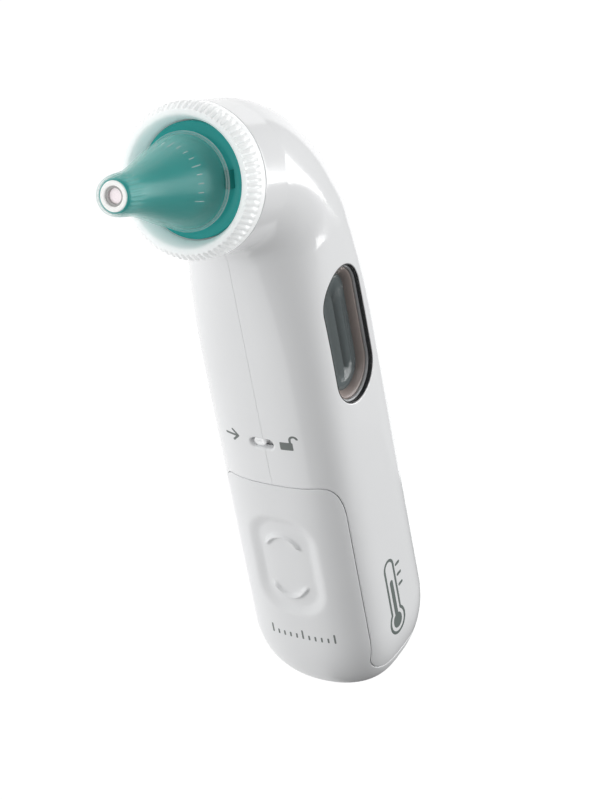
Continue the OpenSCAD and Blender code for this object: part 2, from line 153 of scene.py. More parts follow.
# Points closer than a micron become one, and triangles that lose a corner go.
def weld(points, tris):
    _, first, index = np.unique(np.round(points, 3), axis=0, return_index=True, return_inverse=True)
    tris = index.reshape(-1)[tris]
    good = (tris[:, 0] != tris[:, 1]) & (tris[:, 1] != tris[:, 2]) & (tris[:, 0] != tris[:, 2])
    return points[first], tris[good]


# Area-weighted sum of the face normals round each point, made unit length.
def pointNormals(points, tris):
    a, b, c = (points[tris[:, k]] for k in range(3))
    n = np.cross(b - a, c - a)
    total = np.zeros_like(points)
    for k in range(3):
        np.add.at(total, tris[:, k], n)
    return total / np.maximum(np.linalg.norm(total, axis=1, keepdims=True), 1e-12)


# Normals, and the winding, point away from the solid: its signed volume must be positive.
def outward(points, tris):
    a, b, c = (points[tris[:, k]] for k in range(3))
    return tris if np.einsum("ij,ij->i", a, np.cross(b, c)).sum() > 0 else tris[:, ::-1]


# Every triangle that the line field = level crosses is cut in three along it; new points are shared.
def splitAt(skin, field, level=0.0):
    p, t = skin["points"], skin["tris"]
    f = field(skin) - level
    f = np.where(np.abs(f) < 1e-4, 1e-4, f)
    above = f > 0
    count = above[t].sum(1)
    mixed = (count == 1) | (count == 2)
    cut = t[mixed]
    if not len(cut):
        return skin
    lone = (above[cut] == (above[cut].sum(1) == 1)[:, None]).argmax(1)
    row = np.arange(len(cut))
    a, b, c = cut[row, lone], cut[row, (lone + 1) % 3], cut[row, (lone + 2) % 3]
    pairs = np.sort(np.vstack([np.c_[a, b], np.c_[a, c]]), axis=1)
    edges, index = np.unique(pairs, axis=0, return_inverse=True)
    index = index.reshape(-1)
    w = (f[edges[:, 0]] / (f[edges[:, 0]] - f[edges[:, 1]]))[:, None]
    fresh = {"tris": None}
    for key, value in skin.items():
        if key != "tris":
            fresh[key] = np.vstack([value, value[edges[:, 0]] * (1 - w) + value[edges[:, 1]] * w])
    ab, ac = len(p) + index[:len(a)], len(p) + index[len(a):]
    fresh["tris"] = np.vstack([t[~mixed], np.c_[a, ab, ac], np.c_[ab, b, c], np.c_[ab, c, ac]])
    n = fresh["normals"]
    fresh["normals"] = n / np.maximum(np.linalg.norm(n, axis=1, keepdims=True), 1e-12)
    return fresh


def keepInside(skin, field):
    f = field(skin)
    tris = skin["tris"][f[skin["tris"]].mean(1) > 0]
    used, index = np.unique(tris, return_inverse=True)
    kept = {key: value[used] for key, value in skin.items() if key != "tris"}
    kept["tris"] = index.reshape(-1, 3)
    return kept


# Distance along the skin to a line given in space: field / length of its gradient in the skin's plane.
def alongSkin(shape):
    def field(skin):
        p, n, h = skin["points"], skin["normals"], 1e-3
        f = shape(p)
        grad = np.stack([(shape(p + h * e) - shape(p - h * e)) / (2 * h) for e in np.eye(3)], axis=1)
        grad = grad - n * np.einsum("ij,ij->i", grad, n)[:, None]
        return f / np.maximum(np.linalg.norm(grad, axis=1), 0.25)
    return field


# Depth of a rounded edge at distance d inside it: r - sqrt(r^2 - (r - d)^2).
def edgeDepth(d, r):
    lack = np.clip(r - d, 0, r)
    return r - np.sqrt(np.maximum(r * r - lack * lack, 0))


# Cuts a skin along a line, keeps the positive side, and adds rows of points for its rounded edge.
def trimTo(skin, field, r, start=0.0):
    skin = keepInside(splitAt(skin, field, start), lambda s: field(s) - start)
    for share in (0.12, 0.32, 0.6, 1.0, 1.6):
        skin = splitAt(skin, field, start + share * r)
    skin["sink"] = skin["sink"] + edgeDepth(field(skin) - start, r)[:, None]
    return skin


# An outer sheet, an inner sheet with the same triangles, and the strip that joins their rims: a closed solid.
def closeSheets(outer, inner, tris):
    n = len(outer)
    edges = np.vstack([tris[:, [0, 1]], tris[:, [1, 2]], tris[:, [2, 0]]])
    _, index, count = np.unique(np.sort(edges, axis=1), axis=0, return_inverse=True, return_counts=True)
    rim = edges[count[index.reshape(-1)] == 1]
    a, b = rim[:, 0], rim[:, 1]
    side = np.vstack([np.c_[b, a, a + n], np.c_[b, a + n, b + n]])
    return np.vstack([outer, inner]), np.vstack([tris, tris[:, ::-1] + n, side]), len(side)


# The inner skin lies one wall further in, or deeper where the outer skin is sunk.
def closeShell(skin, wall, thinnest=0.3):
    outer = skin["points"] - skin["normals"] * skin["sink"]
    inner = skin["points"] - skin["normals"] * np.maximum(wall, skin["sink"] + thinnest)
    return closeSheets(outer, inner, skin["tris"])


# Flat shapes are signed distances, negative inside unless said.
def stadium(u, v, length, width):
    return np.hypot(np.maximum(np.abs(u) - (length - width) / 2, 0), v) - width / 2


def roundedBox(u, v, halfU, halfV, r):
    a, b = np.abs(u) - halfU + r, np.abs(v) - halfV + r
    return np.hypot(np.maximum(a, 0), np.maximum(b, 0)) + np.minimum(np.maximum(a, b), 0) - r


def stroke(u, v, start, end, width):
    du, dv = end[0] - start[0], end[1] - start[1]
    k = np.clip(((u - start[0]) * du + (v - start[1]) * dv) / (du * du + dv * dv), 0, 1)
    return np.hypot(u - start[0] - k * du, v - start[1] - k * dv) - width / 2


def addPiece(name, points, tris, flatCount=0, smooth=True):
    mesh = bpy.data.meshes.new(name)
    mesh.vertices.add(len(points))
    mesh.vertices.foreach_set("co", (points * mm).astype(np.float32).ravel())
    mesh.loops.add(len(tris) * 3)
    mesh.loops.foreach_set("vertex_index", tris.astype(np.int32).ravel())
    mesh.polygons.add(len(tris))
    mesh.polygons.foreach_set("loop_start", (np.arange(len(tris)) * 3).astype(np.int32))
    flags = np.full(len(tris), smooth)
    if flatCount:
        flags[-flatCount:] = False
    mesh.polygons.foreach_set("use_smooth", flags)
    mesh.update(calc_edges=True)
    mesh.validate()
    obj = bpy.data.objects.new(name, mesh)
    bpy.context.scene.collection.objects.link(obj)
    return obj


def finishPiece(obj, bodyName, material, slot, *stands):
    obj.data.materials.append(material)
    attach(obj, bodyName)
    if stands:
        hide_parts(*stands)
    return obj


def newMaterial(name):
    material = bpy.data.materials.new(name)
    material.use_nodes = True
    tree = material.node_tree
    return material, tree.nodes, tree.links, tree.nodes["Principled BSDF"]


def linearColour(rgb):
    c = np.array(rgb, float) / 255
    return (*np.where(c <= 0.04045, c / 12.92, ((c + 0.055) / 1.055) ** 2.4), 1.0)


# Moulded surface: soft mottling of the colour, fine grain in the roughness and bump, paler worn edges.
def moulded(name, rgb, roughness=0.3, grain=0.00045, bump=0.04, variation=0.03, wear=0.15, **sockets):
    material, n, link, shader = newMaterial(name)
    where = n.new("ShaderNodeTexCoord")
    cloud, fine = n.new("ShaderNodeTexNoise"), n.new("ShaderNodeTexNoise")
    cloud.inputs["Scale"].default_value = 60
    cloud.inputs["Detail"].default_value = 3
    fine.inputs["Scale"].default_value = 1 / grain
    fine.inputs["Detail"].default_value = 4
    for tex in (cloud, fine):
        link.new(where.outputs["Object"], tex.inputs["Vector"])
    tone = n.new("ShaderNodeValToRGB")
    base = np.array(linearColour(rgb))
    tone.color_ramp.elements[0].color = (*(base[:3] * (1 - variation)), 1)
    tone.color_ramp.elements[1].color = (*np.minimum(base[:3] * (1 + variation), 1), 1)
    tone.color_ramp.elements[0].position, tone.color_ramp.elements[1].position = 0.35, 0.65
    link.new(cloud.outputs["Fac"], tone.inputs["Fac"])
    shape, edge, worn = n.new("ShaderNodeNewGeometry"), n.new("ShaderNodeValToRGB"), n.new("ShaderNodeMix")
    edge.color_ramp.elements[0].position, edge.color_ramp.elements[1].position = 0.52, 0.62
    edge.color_ramp.elements[1].color = (wear, wear, wear, 1)
    edge.color_ramp.elements[0].color = (0, 0, 0, 1)
    link.new(shape.outputs["Pointiness"], edge.inputs["Fac"])
    worn.data_type = "RGBA"
    worn.inputs["B"].default_value = (*np.minimum(base[:3] * 1.25 + 0.02, 1), 1)
    link.new(edge.outputs["Color"], worn.inputs["Factor"])
    link.new(tone.outputs["Color"], worn.inputs["A"])
    link.new(worn.outputs["Result"], shader.inputs["Base Color"])
    rough = n.new("ShaderNodeMapRange")
    rough.inputs["To Min"].default_value = roughness * 0.85
    rough.inputs["To Max"].default_value = min(roughness * 1.15, 1)
    link.new(fine.outputs["Fac"], rough.inputs["Value"])
    link.new(rough.outputs["Result"], shader.inputs["Roughness"])
    relief = n.new("ShaderNodeBump")
    relief.inputs["Strength"].default_value = bump
    relief.inputs["Distance"].default_value = grain * 0.1
    link.new(fine.outputs["Fac"], relief.inputs["Height"])
    link.new(relief.outputs["Normal"], shader.inputs["Normal"])
    for socket, value in sockets.items():
        shader.inputs[socket.replace("_", " ")].default_value = value
    return material


# Clear thin film: nearly invisible face on, milky and shiny where it turns away.
def clearFilm(name, rgb, face=0.12, rim=0.75, roughness=0.12):
    material = moulded(name, rgb, roughness, 0.0006, 0.03, 0.02, 0.0)
    n, link = material.node_tree.nodes, material.node_tree.links
    shader = n["Principled BSDF"]
    turn, ramp = n.new("ShaderNodeLayerWeight"), n.new("ShaderNodeMapRange")
    turn.inputs["Blend"].default_value = 0.35
    ramp.inputs["From Min"].default_value = 0.1
    ramp.inputs["From Max"].default_value = 0.95
    ramp.inputs["To Min"].default_value = face
    ramp.inputs["To Max"].default_value = rim
    link.new(turn.outputs["Facing"], ramp.inputs["Value"])
    link.new(ramp.outputs["Result"], shader.inputs["Alpha"])
    return material


shellPaint = moulded("glossy white housing", (238, 239, 240), 0.16, 0.0004, 0.012, 0.006, 0.02,
                     Coat_Weight=0.35, Coat_Roughness=0.06, Specular_IOR_Level=0.45)
doorPaint = moulded("satin white door", (236, 237, 238), 0.34, 0.0004, 0.03, 0.006, 0.02,
                    Specular_IOR_Level=0.4)
# The ring glows faintly (emission 0.14): painted light that brightens its shaded bore walls, on top of its
# real frosted translucency.
frosted = moulded("frosted ring plastic", (254, 255, 255), 0.3, 0.0005, 0.03, 0.002, 0.0,
                  Subsurface_Weight=0.6, Subsurface_Scale=0.004, Subsurface_Radius=(1, 1, 1),
                  Emission_Strength=0.14, Emission_Color=(0.95, 1.0, 1.0, 1.0))
# The latch nub glows faintly (emission 0.12): painted light that keeps it white inside its shaded slot.
latchGlowPaint = moulded("latch white", (244, 245, 246), 0.3, 0.0004, 0.03, 0.01, 0.02, Emission_Strength=0.12,
                     Emission_Color=(1, 1, 1, 1))
teal = moulded("teal cone plastic", (36, 160, 156), 0.42, 0.0004, 0.03, 0.04, 0.1, Specular_IOR_Level=0.3)
printGrey = moulded("grey printing ink", (118, 124, 122), 0.5, 0.0003, 0.05, 0.05, 0.0)
printDark = moulded("dark printing ink", (96, 106, 103), 0.5, 0.0003, 0.05, 0.05, 0.0)
filmClear = clearFilm("clear filter plastic", (150, 216, 208), 0.01, 0.5, 0.22)
lipClear = clearFilm("clear filter lip", (240, 248, 248), 0.12, 0.85)
smokePane = clearFilm("smoke window pane", (70, 74, 76), 0.06, 0.2, 0.14)
print("stage: materials ready")


# The battery door's seam, dish and ridges.
doorShape = {
    "seamX": 7.2, "cornerX": 8.8, "cornerY": 3.2, "sideY": 11.3, "tailX": 58.0, "tailBend": 5.0, "gap": 0.16,
    "edge": 0.22, "dishX": 28.4, "dishZ": 15.0, "dishHalfX": 12.6, "dishHalfZ": 7.9, "dishRadius": 6.6,
    "dishDepth": 0.9, "dishFade": 2.8, "ridgeX": 29.0, "ridgeZ": 14.6, "ridgeLong": 7.9, "ridgeWide": 5.1,
    "ridgeCut": 5.2, "ridgeFade": 1.4, "ridgeHeight": 0.75, "ridgeHalf": 0.85,
}
# Openings in the shells and the seam between them.
holes = {
    "windowX": -23.4, "windowY": -0.75, "windowLength": 31.4, "windowWidth": 14.5, "windowEdge": 0.22,
    "slotX": -3.2, "slotZ": 15.1, "slotLength": 5.4, "slotWidth": 2.3, "slotEdge": 0.5,
    "partEdge": 0.07, "partGap": 0.008, "collarEdge": 0.45, "buttonEdge": 0.25,
    "startX": -35.0, "startLength": 17.6, "startWidth": 10.1, "powerX": -12.0, "powerLength": 10.1,
    "powerWidth": 8.1,
    "screws": ((-51, 6), (-2, 10.5), (49, 7.5)), "screwRadius": 2.1, "screwEdge": 0.25,
}


# Side view of the door's seam: an upper edge with an elliptic corner, a straight side, a bend and the tail.
def doorSide(p):
    d, x, y = doorShape, p[:, 0], p[:, 1]
    u = np.maximum(d["seamX"] + d["cornerX"] - x, 0) / d["cornerX"]
    v = np.maximum(y + d["sideY"] + d["cornerY"], 0) / d["cornerY"]
    upper = d["cornerY"] * (1 - np.hypot(u, v))
    a = x - d["tailX"] + d["tailBend"]
    b = -d["sideY"] + d["tailBend"] - y
    tail = np.hypot(np.maximum(a, 0), np.maximum(b, 0)) + np.minimum(np.maximum(a, b), 0) - d["tailBend"]
    return np.where(x < 30, upper, tail)


doorDistance = alongSkin(doorSide)


# A hole counts only on its own side of the body; elsewhere its line is far away.
def onSide(sideTest, distance):
    return np.where(sideTest, distance, 50.0)


def windowDistance(skin):
    p = skin["points"]
    d = stadium(p[:, 0] - holes["windowX"], p[:, 1] - holes["windowY"], holes["windowLength"],
                holes["windowWidth"])
    return onSide(p[:, 2] > midZ, d)


def slotDistance(skin):
    p = skin["points"]
    d = stadium(p[:, 2] - holes["slotZ"], p[:, 0] - holes["slotX"], holes["slotLength"], holes["slotWidth"])
    return onSide((p[:, 1] < 0) & (p[:, 0] > -20), d)


def backDistance(name):
    def field(skin):
        p = skin["points"]
        d = stadium(p[:, 0] - holes[name + "X"], p[:, 2] - midZ, holes[name + "Length"],
                    holes[name + "Width"])
        return onSide(p[:, 1] > 0, d)
    return field


def screwDistance(skin):
    p = skin["points"]
    nearest = np.min([np.hypot(p[:, 0] - x, p[:, 1] - y) for x, y in holes["screws"]], axis=0)
    d = nearest - holes["screwRadius"]
    return onSide(p[:, 2] < midZ, d)


def collarDistance(skin):
    return body["collarFront"] - (skin["points"] - ringCentre) @ axisDir


def wholeSkin():
    grid = bodyGrid()
    points, tris = weld(grid.reshape(-1, 3), gridTris(*grid.shape[:2]))
    tris = outward(points, tris)
    normals = pointNormals(points, tris)
    points = points - normals * body["skinInset"]
    return {"points": points, "normals": normals, "tris": tris, "sink": np.zeros((len(points), 1))}


# Soft thumb dish, and two raised crescents: parts of an oval line, faded out at their ends.
def shapeDoor(skin):
    d = doorShape

    def ridgeDistance(s):
        u, v = s["points"][:, 0] - d["ridgeX"], s["points"][:, 2] - d["ridgeZ"]
        q = np.maximum(np.sqrt((u / d["ridgeLong"]) ** 2 + (v / d["ridgeWide"]) ** 2), 1e-6)
        slope = np.sqrt((u / d["ridgeLong"] ** 2) ** 2 + (v / d["ridgeWide"] ** 2) ** 2) / q
        return np.where(s["points"][:, 1] < 0, (q - 1) / np.maximum(slope, 1e-3), 20.0)

    for level in (-0.75, -0.5, -0.25, 0.0, 0.25, 0.5, 0.75):
        skin = splitAt(skin, ridgeDistance, level)
    p = skin["points"]
    dish = roundedBox(p[:, 0] - d["dishX"], p[:, 2] - d["dishZ"], d["dishHalfX"], d["dishHalfZ"],
                      d["dishRadius"])
    depth = d["dishDepth"] * ease(np.clip(0.2 - dish / d["dishFade"], 0, 1))
    across = np.clip(np.abs(ridgeDistance(skin)) / d["ridgeHalf"], 0, 1)
    along = ease(np.clip((np.abs(p[:, 0] - d["ridgeX"]) - d["ridgeCut"]) / d["ridgeFade"] + 0.5, 0, 1))
    ridge = d["ridgeHeight"] * (0.5 + 0.5 * np.cos(np.pi * across)) * along
    front = p[:, 1] < 0
    skin["sink"] = skin["sink"] + np.where(front, depth - ridge, 0)[:, None]
    return skin


def buildShells():
    skin = wholeSkin()
    gap = doorShape["gap"] / 2
    door = trimTo(skin, doorDistance, doorShape["edge"], gap)
    door = shapeDoor(door)
    piece = addPiece("batteryDoor", *closeShell(door, body["wall"]))
    finishPiece(piece, "battery_cover", doorPaint, "cover_white", "battery_cover")
    rest = trimTo(skin, lambda s: -doorDistance(s), doorShape["edge"], gap)
    rest = trimTo(rest, collarDistance, holes["collarEdge"])
    for name, sign in (("Left", -1), ("Right", 1)):
        half = trimTo(rest, lambda s: sign * (s["points"][:, 2] - midZ), holes["partEdge"], holes["partGap"])
        half = trimTo(half, slotDistance, holes["slotEdge"])
        half = trimTo(half, backDistance("start"), holes["buttonEdge"])
        half = trimTo(half, backDistance("power"), holes["buttonEdge"])
        if sign > 0:
            half = trimTo(half, windowDistance, holes["windowEdge"])
        else:
            half = trimTo(half, screwDistance, holes["screwEdge"])
        piece = addPiece("shell" + name, *closeShell(half, body["wall"]))
        finishPiece(piece, "housing", shellPaint, "shell_white", "housing_" + name.lower())


buildShells()
print("stage: shells and door built")


# A printed mark is a fine sheet laid on the skin, cut to the mark, a few hundredths thick.
marks = {"lift": 0.012, "thick": 0.03, "step": 0.11}


# Point of the skin over a side or the front, from the same oval: width = w (1 - (y / d)^p)^(1 / q).
def skinPoint(x, other, face):
    hd, hw, side, front = sectionAt(x)
    if face == "front":
        out = hd * (1 - np.clip(np.abs(other - midZ) / hw, 0, 1) ** side) ** (1 / front)
        return np.stack([x, -out, other], axis=-1)
    up = hw * (1 - np.clip(np.abs(other) / hd, 0, 1) ** front) ** (1 / side)
    return np.stack([x, other, midZ + pressFlat(up)], axis=-1)


def printMark(name, bodyName, slot, material, face, low, high, shape):
    x = np.arange(low[0], high[0], marks["step"])
    other = np.arange(low[1], high[1], marks["step"])
    gx, go = np.meshgrid(x, other, indexing="ij")
    points = skinPoint(gx, go, face).reshape(-1, 3)
    tris = gridTris(len(x), len(other), closedAround=False)
    normals = pointNormals(points, tris)
    want = np.array([0, -1, 0]) if face == "front" else upDir
    if (normals @ want).mean() < 0:
        tris, normals = tris[:, ::-1], -normals
    skin = {"points": points, "normals": normals, "tris": tris}
    skin = keepInside(splitAt(skin, shape), shape)
    outer = skin["points"] + skin["normals"] * (marks["lift"] - body["skinInset"])
    under = outer - skin["normals"] * marks["thick"]
    return finishPiece(addPiece(name, *closeSheets(outer, under, skin["tris"])), bodyName, material, slot)


# On the front, u runs with +Z and v against +X, both from the mark's middle.
def frontMark(x0, z0, draw):
    return lambda s: -draw(s["points"][:, 2] - z0, -(s["points"][:, 0] - x0))


def arrowShape(u, v):
    shaft = stroke(u, v, (-1.6, 0), (1.4, 0), 0.5)
    barbs = [stroke(u, v, (0.2, side * 1.25), (1.5, 0), 0.5) for side in (1, -1)]
    return np.minimum.reduce([shaft, *barbs])


def padlockShape(u, v):
    box = roundedBox(u + 0.5, v + 0.7, 1.45, 0.95, 0.2)
    bow = np.abs(np.hypot(u - 1.25, v - 0.95) - 0.8) - 0.24
    leg = stroke(u, v, (0.45, 0.95), (0.45, 0.1), 0.48)
    return np.minimum.reduce([box, np.where(v > 0.95, bow, 9.0), leg])


def ticksShape(u, v):
    pitch = 1.5
    number = np.clip(np.round(u / pitch), -5, 5)
    tall = np.where(np.abs(number) % 5 == 0, 1.15, 0.6)
    return roundedBox(u - number * pitch, v - (tall - 1.15), 0.2, tall, 0.1)


# A thermometer lying along the handle: bulb towards the tail, outlined stem, three short ticks beside it.
def thermometerShape(s):
    u, v = s["points"][:, 0] - 42.5, s["points"][:, 1] + 2.2
    outline = np.abs(stroke(u, v, (-7.2, 0), (5.6, 0), 3.6)) - 0.34
    bulb = np.hypot(u - 6.4, v) - 2.9
    outline = np.where(np.hypot(u - 6.4, v) < 2.6, 9.0, outline)
    column = stroke(u, v, (-3.4, 0), (6.4, 0), 1.3)
    dots = np.minimum.reduce([stroke(u, v, (x, 2.9), (x, 4.1), 0.7) for x in (-6.2, -3.6, -1.0)])
    ring = np.abs(bulb) - 0.34
    ring = np.where((np.abs(v) < 1.5) & (u < 6.4), 9.0, ring)
    core = np.hypot(u - 6.4, v) - 1.75
    return -np.minimum.reduce([outline, column, dots, ring, core])


printMark("slideArrow", "housing", "shell_white", printGrey, "front", (-7, 5.5), (-1, 10.5),
          frontMark(-4.0, 8.0, arrowShape))
printMark("openPadlock", "housing", "shell_white", printGrey, "front", (-8, 18), (0, 25),
          frontMark(-4.2, 21.4, padlockShape))
printMark("scaleTicks", "battery_cover", "cover_white", printGrey, "front", (44, 6.5), (49, 25),
          frontMark(46.4, 15.8, ticksShape))
printMark("flankSign", "housing", "shell_white", printDark, "flank", (32, -8), (53, 5), thermometerShape)
print("stage: printed marks laid")


# Points at radius r, angle turn and distance along the probe's axis.
def onProbe(r, turn, along):
    r, turn, along = np.broadcast_arrays(r, turn, along)
    side = (r * np.cos(turn))[..., None] * -outDir + (r * np.sin(turn))[..., None] * upDir
    return ringCentre + side + along[..., None] * axisDir


# A closed outline with each corner cut by an arc: points on the arc follow a quadratic curve.
def softenOutline(corners, radius, steps=5):
    c = np.array(corners, float)
    r = np.broadcast_to(np.array(radius, float), len(c))[:, None]
    before, after = np.roll(c, 1, axis=0) - c, np.roll(c, -1, axis=0) - c
    lb, la = np.linalg.norm(before, axis=1, keepdims=True), np.linalg.norm(after, axis=1, keepdims=True)
    a, b = c + before / lb * np.minimum(r, lb * 0.45), c + after / la * np.minimum(r, la * 0.45)
    k = np.linspace(0, 1, steps)[None, :, None]
    curve = (1 - k) ** 2 * a[:, None] + 2 * k * (1 - k) * c[:, None] + k ** 2 * b[:, None]
    return curve.reshape(-1, 2)


# The outline carried round the probe's axis; change(r, a, turn) may move its points.
def turned(name, outline, around=160, change=None):
    turn = (np.arange(around) / around * 2 * np.pi)[None, :]
    r, a = np.broadcast_arrays(outline[:, 0][:, None], outline[:, 1][:, None] + 0 * turn)
    if change:
        r, a = change(r, a, turn)
    grid = onProbe(r, turn + 0 * r, a)
    points, tris = weld(grid.reshape(-1, 3), gridTris(*grid.shape[:2], closedAlong=True))
    return addPiece(name, points, outward(points, tris))


ring = {
    "teeth": 72, "toothDepth": 0.6, "toothShare": 0.4, "rim": 14.4, "outer": 15.6, "front": 0.0,
    "chamfer": -1.9,
    "back": -5.0, "sleeve": 12.9, "bore": 11.9, "sleeveBack": -14.0,
}


def ringTeeth(r, a, turn):
    phase = (turn * ring["teeth"] / (2 * np.pi)) % 1
    notch = ease(np.clip((ring["toothShare"] / 2 - np.abs(phase - 0.5)) / 0.08 + 0.5, 0, 1))
    reach = ease(np.clip((r - ring["rim"] + 0.15) / 0.35, 0, 1)) * ease(np.clip((a + 3.4) / 0.6, 0, 1))
    return r - notch * reach * ring["toothDepth"], a - notch * reach * ring["toothDepth"] * 0.5


def buildRing():
    g = ring
    outline = softenOutline([
        (g["bore"], -3), (g["bore"] + 0.7, -0.8), (13.1, g["front"]), (g["rim"], g["front"]), (15.0, -0.95),
        (g["outer"], g["chamfer"]), (g["outer"], -3.4), (g["outer"], g["back"]), (14.0, g["back"]),
        (g["sleeve"], g["back"]), (g["sleeve"], -13.2), (13.4, -13.2), (13.4, g["sleeveBack"]),
        (g["bore"], g["sleeveBack"]), (g["bore"], -6)],
        [0.5, 0.5, 0.4, 0.35, 0.1, 0.3, 0.1, 0.35, 0.1, 0.2, 0.1, 0.1, 0.1, 0.2, 0.1])
    piece = turned("gripRing", outline, g["teeth"] * 9, ringTeeth)
    return finishPiece(piece, "ejector", frosted, "ring_frosted", "ejector_ring")


# The teal cone and the clear filter over it share one profile.
cone = {
    "filterLength": 26.2, "tipRadius": 3.85, "filterTip": 25.8, "setBack": 0.6, "wall": 0.35, "gap": 0.15,
    "taper": 0.09, "bell": 3.2, "bellStart": 4.0, "bellLength": 22.0, "footGap": 0.4, "baseFront": -3.4,
    "baseRadius": 11.6, "baseThick": 3.2, "flangeBack": -1.1, "flangeRadius": 9.9, "flangeThick": 0.8,
    "pleats": 26, "pleatDepth": 0.13, "tipPocket": 3.05, "tipPocketDepth": 1.2, "bore": 2.05,
}


# Outside of the clear filter at distance t behind its tip: a slim taper plus a smooth bell towards its lip.
def filterRadius(t):
    return (cone["tipRadius"] + cone["taper"] * t
            + cone["bell"] * ease(np.clip((t - cone["bellStart"]) / cone["bellLength"], 0, 1)))


def coneRadius(t):
    c = cone
    return filterRadius(t) - c["wall"] - c["gap"] - c["footGap"] * ease(np.clip(t / c["filterLength"], 0, 1))


def buildCone():
    c = cone
    tip, edge = c["filterTip"] - c["setBack"], 0.35
    pocket, floor, front = c["tipPocket"], tip - c["tipPocketDepth"], c["baseFront"]
    back, wide = front - c["baseThick"], c["baseRadius"]
    t = np.linspace(edge, tip - c["flangeBack"], 70)
    side = np.stack([coneRadius(t), tip - t], axis=1)
    nose = softenOutline([(pocket, floor), (pocket, tip), (coneRadius(0.0) - 0.08, tip),
                          (coneRadius(edge), tip - edge)], [0.02, 0.12, 0.25, 0.1])[2:-2]
    foot = softenOutline([(side[-1, 0] + 0.8, front + 0.5), (side[-1, 0] + 2.2, front), (wide, front),
                          (wide, back), (c["bore"], back), (c["bore"], floor)],
                         [0.6, 0.8, 0.3, 0.1, 0.1, 0.02])[2:]
    piece = turned("probeCone", np.vstack([nose, side, foot]), 192)
    return finishPiece(piece, "housing", teal, "probe_teal", "probe_cone")


# Small pleats near the filter's tip: the radius ripples as a cosine and fades out 6 mm behind it.
def pleats(r, a, turn):
    behind = cone["filterTip"] - a
    fade = ease(np.clip((behind - 0.8) / 0.8, 0, 1)) * ease(np.clip((6.2 - behind) / 3.0, 0, 1))
    return r + cone["pleatDepth"] * fade * np.cos(turn * cone["pleats"]), a


def buildFilter():
    c = cone
    tip, top = c["filterTip"], c["filterTip"] - c["flangeBack"] - c["flangeThick"]
    t = np.linspace(0.9, top - 0.3, 90)
    outside = np.stack([filterRadius(t), tip - t], axis=1)
    inside = np.stack([filterRadius(t) - c["wall"], tip - t], axis=1)[::-1]
    r, back = c["tipRadius"], c["flangeBack"]
    nose = softenOutline([(r - 0.6, tip - 0.3), (r - 0.6, tip), (r - 0.32, tip), (r - 0.1, tip - 0.35),
                          (filterRadius(0.9), tip - 0.9)], [0.02, 0.1, 0.12, 0.2, 0.02])[2:-2]
    foot = [(filterRadius(top) + 0.05, back + 0.5), (filterRadius(top) - c["wall"], back + 0.4)]
    piece = turned("clearFilter", np.vstack([nose, outside, foot, inside]), 208, pleats)
    finishPiece(piece, "filter", filmClear, "filter_clear", "lens_filter")
    low = filterRadius(top)
    lip = softenOutline([(low - 0.3, back + 0.1), (low - 0.1, back + 0.75), (low + 0.45, back + 0.8),
                         (c["flangeRadius"], back + 0.75), (c["flangeRadius"], back)], 0.25)
    return finishPiece(turned("filterLip", lip, 160), "filter", lipClear, "filter_clear")


# Generic raised ticks round the filter's foot: short ribs lying on its skin.
def buildFilterTicks():
    count, span = 13, math.radians(150)
    start, height, halfWidth = 19.2, 0.1, 0.11
    rows, cols = 9, 8
    angles = np.linspace(-span / 2, span / 2, count) + math.radians(150)
    long = np.where(np.arange(count) % 4 == 0, 2.6, 1.5)
    u = np.linspace(0, 1, rows)[None, :, None]
    w = (np.arange(cols) / cols * 2 * np.pi)[None, None, :]
    taper = np.sqrt(np.clip(1 - (2 * u - 1) ** 8, 0, 1))
    behind = start + (u - 0.5) * long[:, None, None] + 0 * w
    radius = filterRadius(behind) + height * taper * np.sin(w)
    turn = angles[:, None, None] + halfWidth * taper * np.cos(w) / radius
    grid = onProbe(radius, turn, cone["filterTip"] - behind)
    base = gridTris(rows, cols)
    tris = (base[None] + (np.arange(count) * rows * cols)[:, None, None]).reshape(-1, 3)
    points, tris = weld(grid.reshape(-1, 3), tris)
    piece = addPiece("filterTicks", points, outward(points, tris))
    return finishPiece(piece, "filter", lipClear, "filter_clear")


def buildTip():
    tip = cone["filterTip"] - cone["setBack"]
    # The white tip ring glows faintly (emission 0.16): painted light on top of its own white.
    white = moulded("white insulating ring", (254, 252, 250), 0.35, 0.0003, 0.03, 0.01, 0.0,
                    Emission_Strength=0.16, Emission_Color=(1.0, 0.97, 0.96, 1.0))
    steel = moulded("sensor barrel steel", (150, 146, 144), 0.28, 0.0003, 0.04, 0.05, 0.1, Metallic=1.0)
    # The sensor lens glows pinkish (emission 0.4): painted light that brightens it at the bottom of the tip's
    # recess.
    lens = moulded("sensor lens", (244, 232, 235), 0.14, 0.0004, 0.02, 0.04, 0.0, Coat_Weight=0.4,
                   Emission_Strength=0.4, Emission_Color=(0.75, 0.66, 0.69, 1.0))
    outline = softenOutline([(2.02, tip - 1.1), (2.02, tip + 0.05), (2.2, tip + 0.18), (2.85, tip + 0.18),
                             (3.03, tip + 0.02), (3.03, tip - 1.1)], [0.05, 0.1, 0.12, 0.12, 0.08, 0.05])
    finishPiece(turned("tipRing", outline, 128), "housing", white, "tip_white", "tip_ring")
    outline = softenOutline([(1.55, tip - 1.6), (1.55, tip - 0.55), (1.72, tip - 0.42), (1.86, tip - 0.42),
                             (1.98, tip - 0.6), (1.98, tip - 1.6)], 0.08)
    finishPiece(turned("barrelMouth", outline, 128), "housing", steel, "barrel_metal")
    outline = np.array([(0.0, tip - 1.35), (1.35, tip - 1.35), (1.5, tip - 1.2), (1.5, tip - 0.95),
                        (1.42, tip - 0.88), (1.2, tip - 0.85), (0.0, tip - 0.8)])
    finishPiece(turned("sensorLens", outline, 96), "housing", lens, "sensor_glass", "sensor_window")


buildRing()
buildCone()
buildFilter()
buildFilterTicks()
buildTip()
print("stage: probe turned")


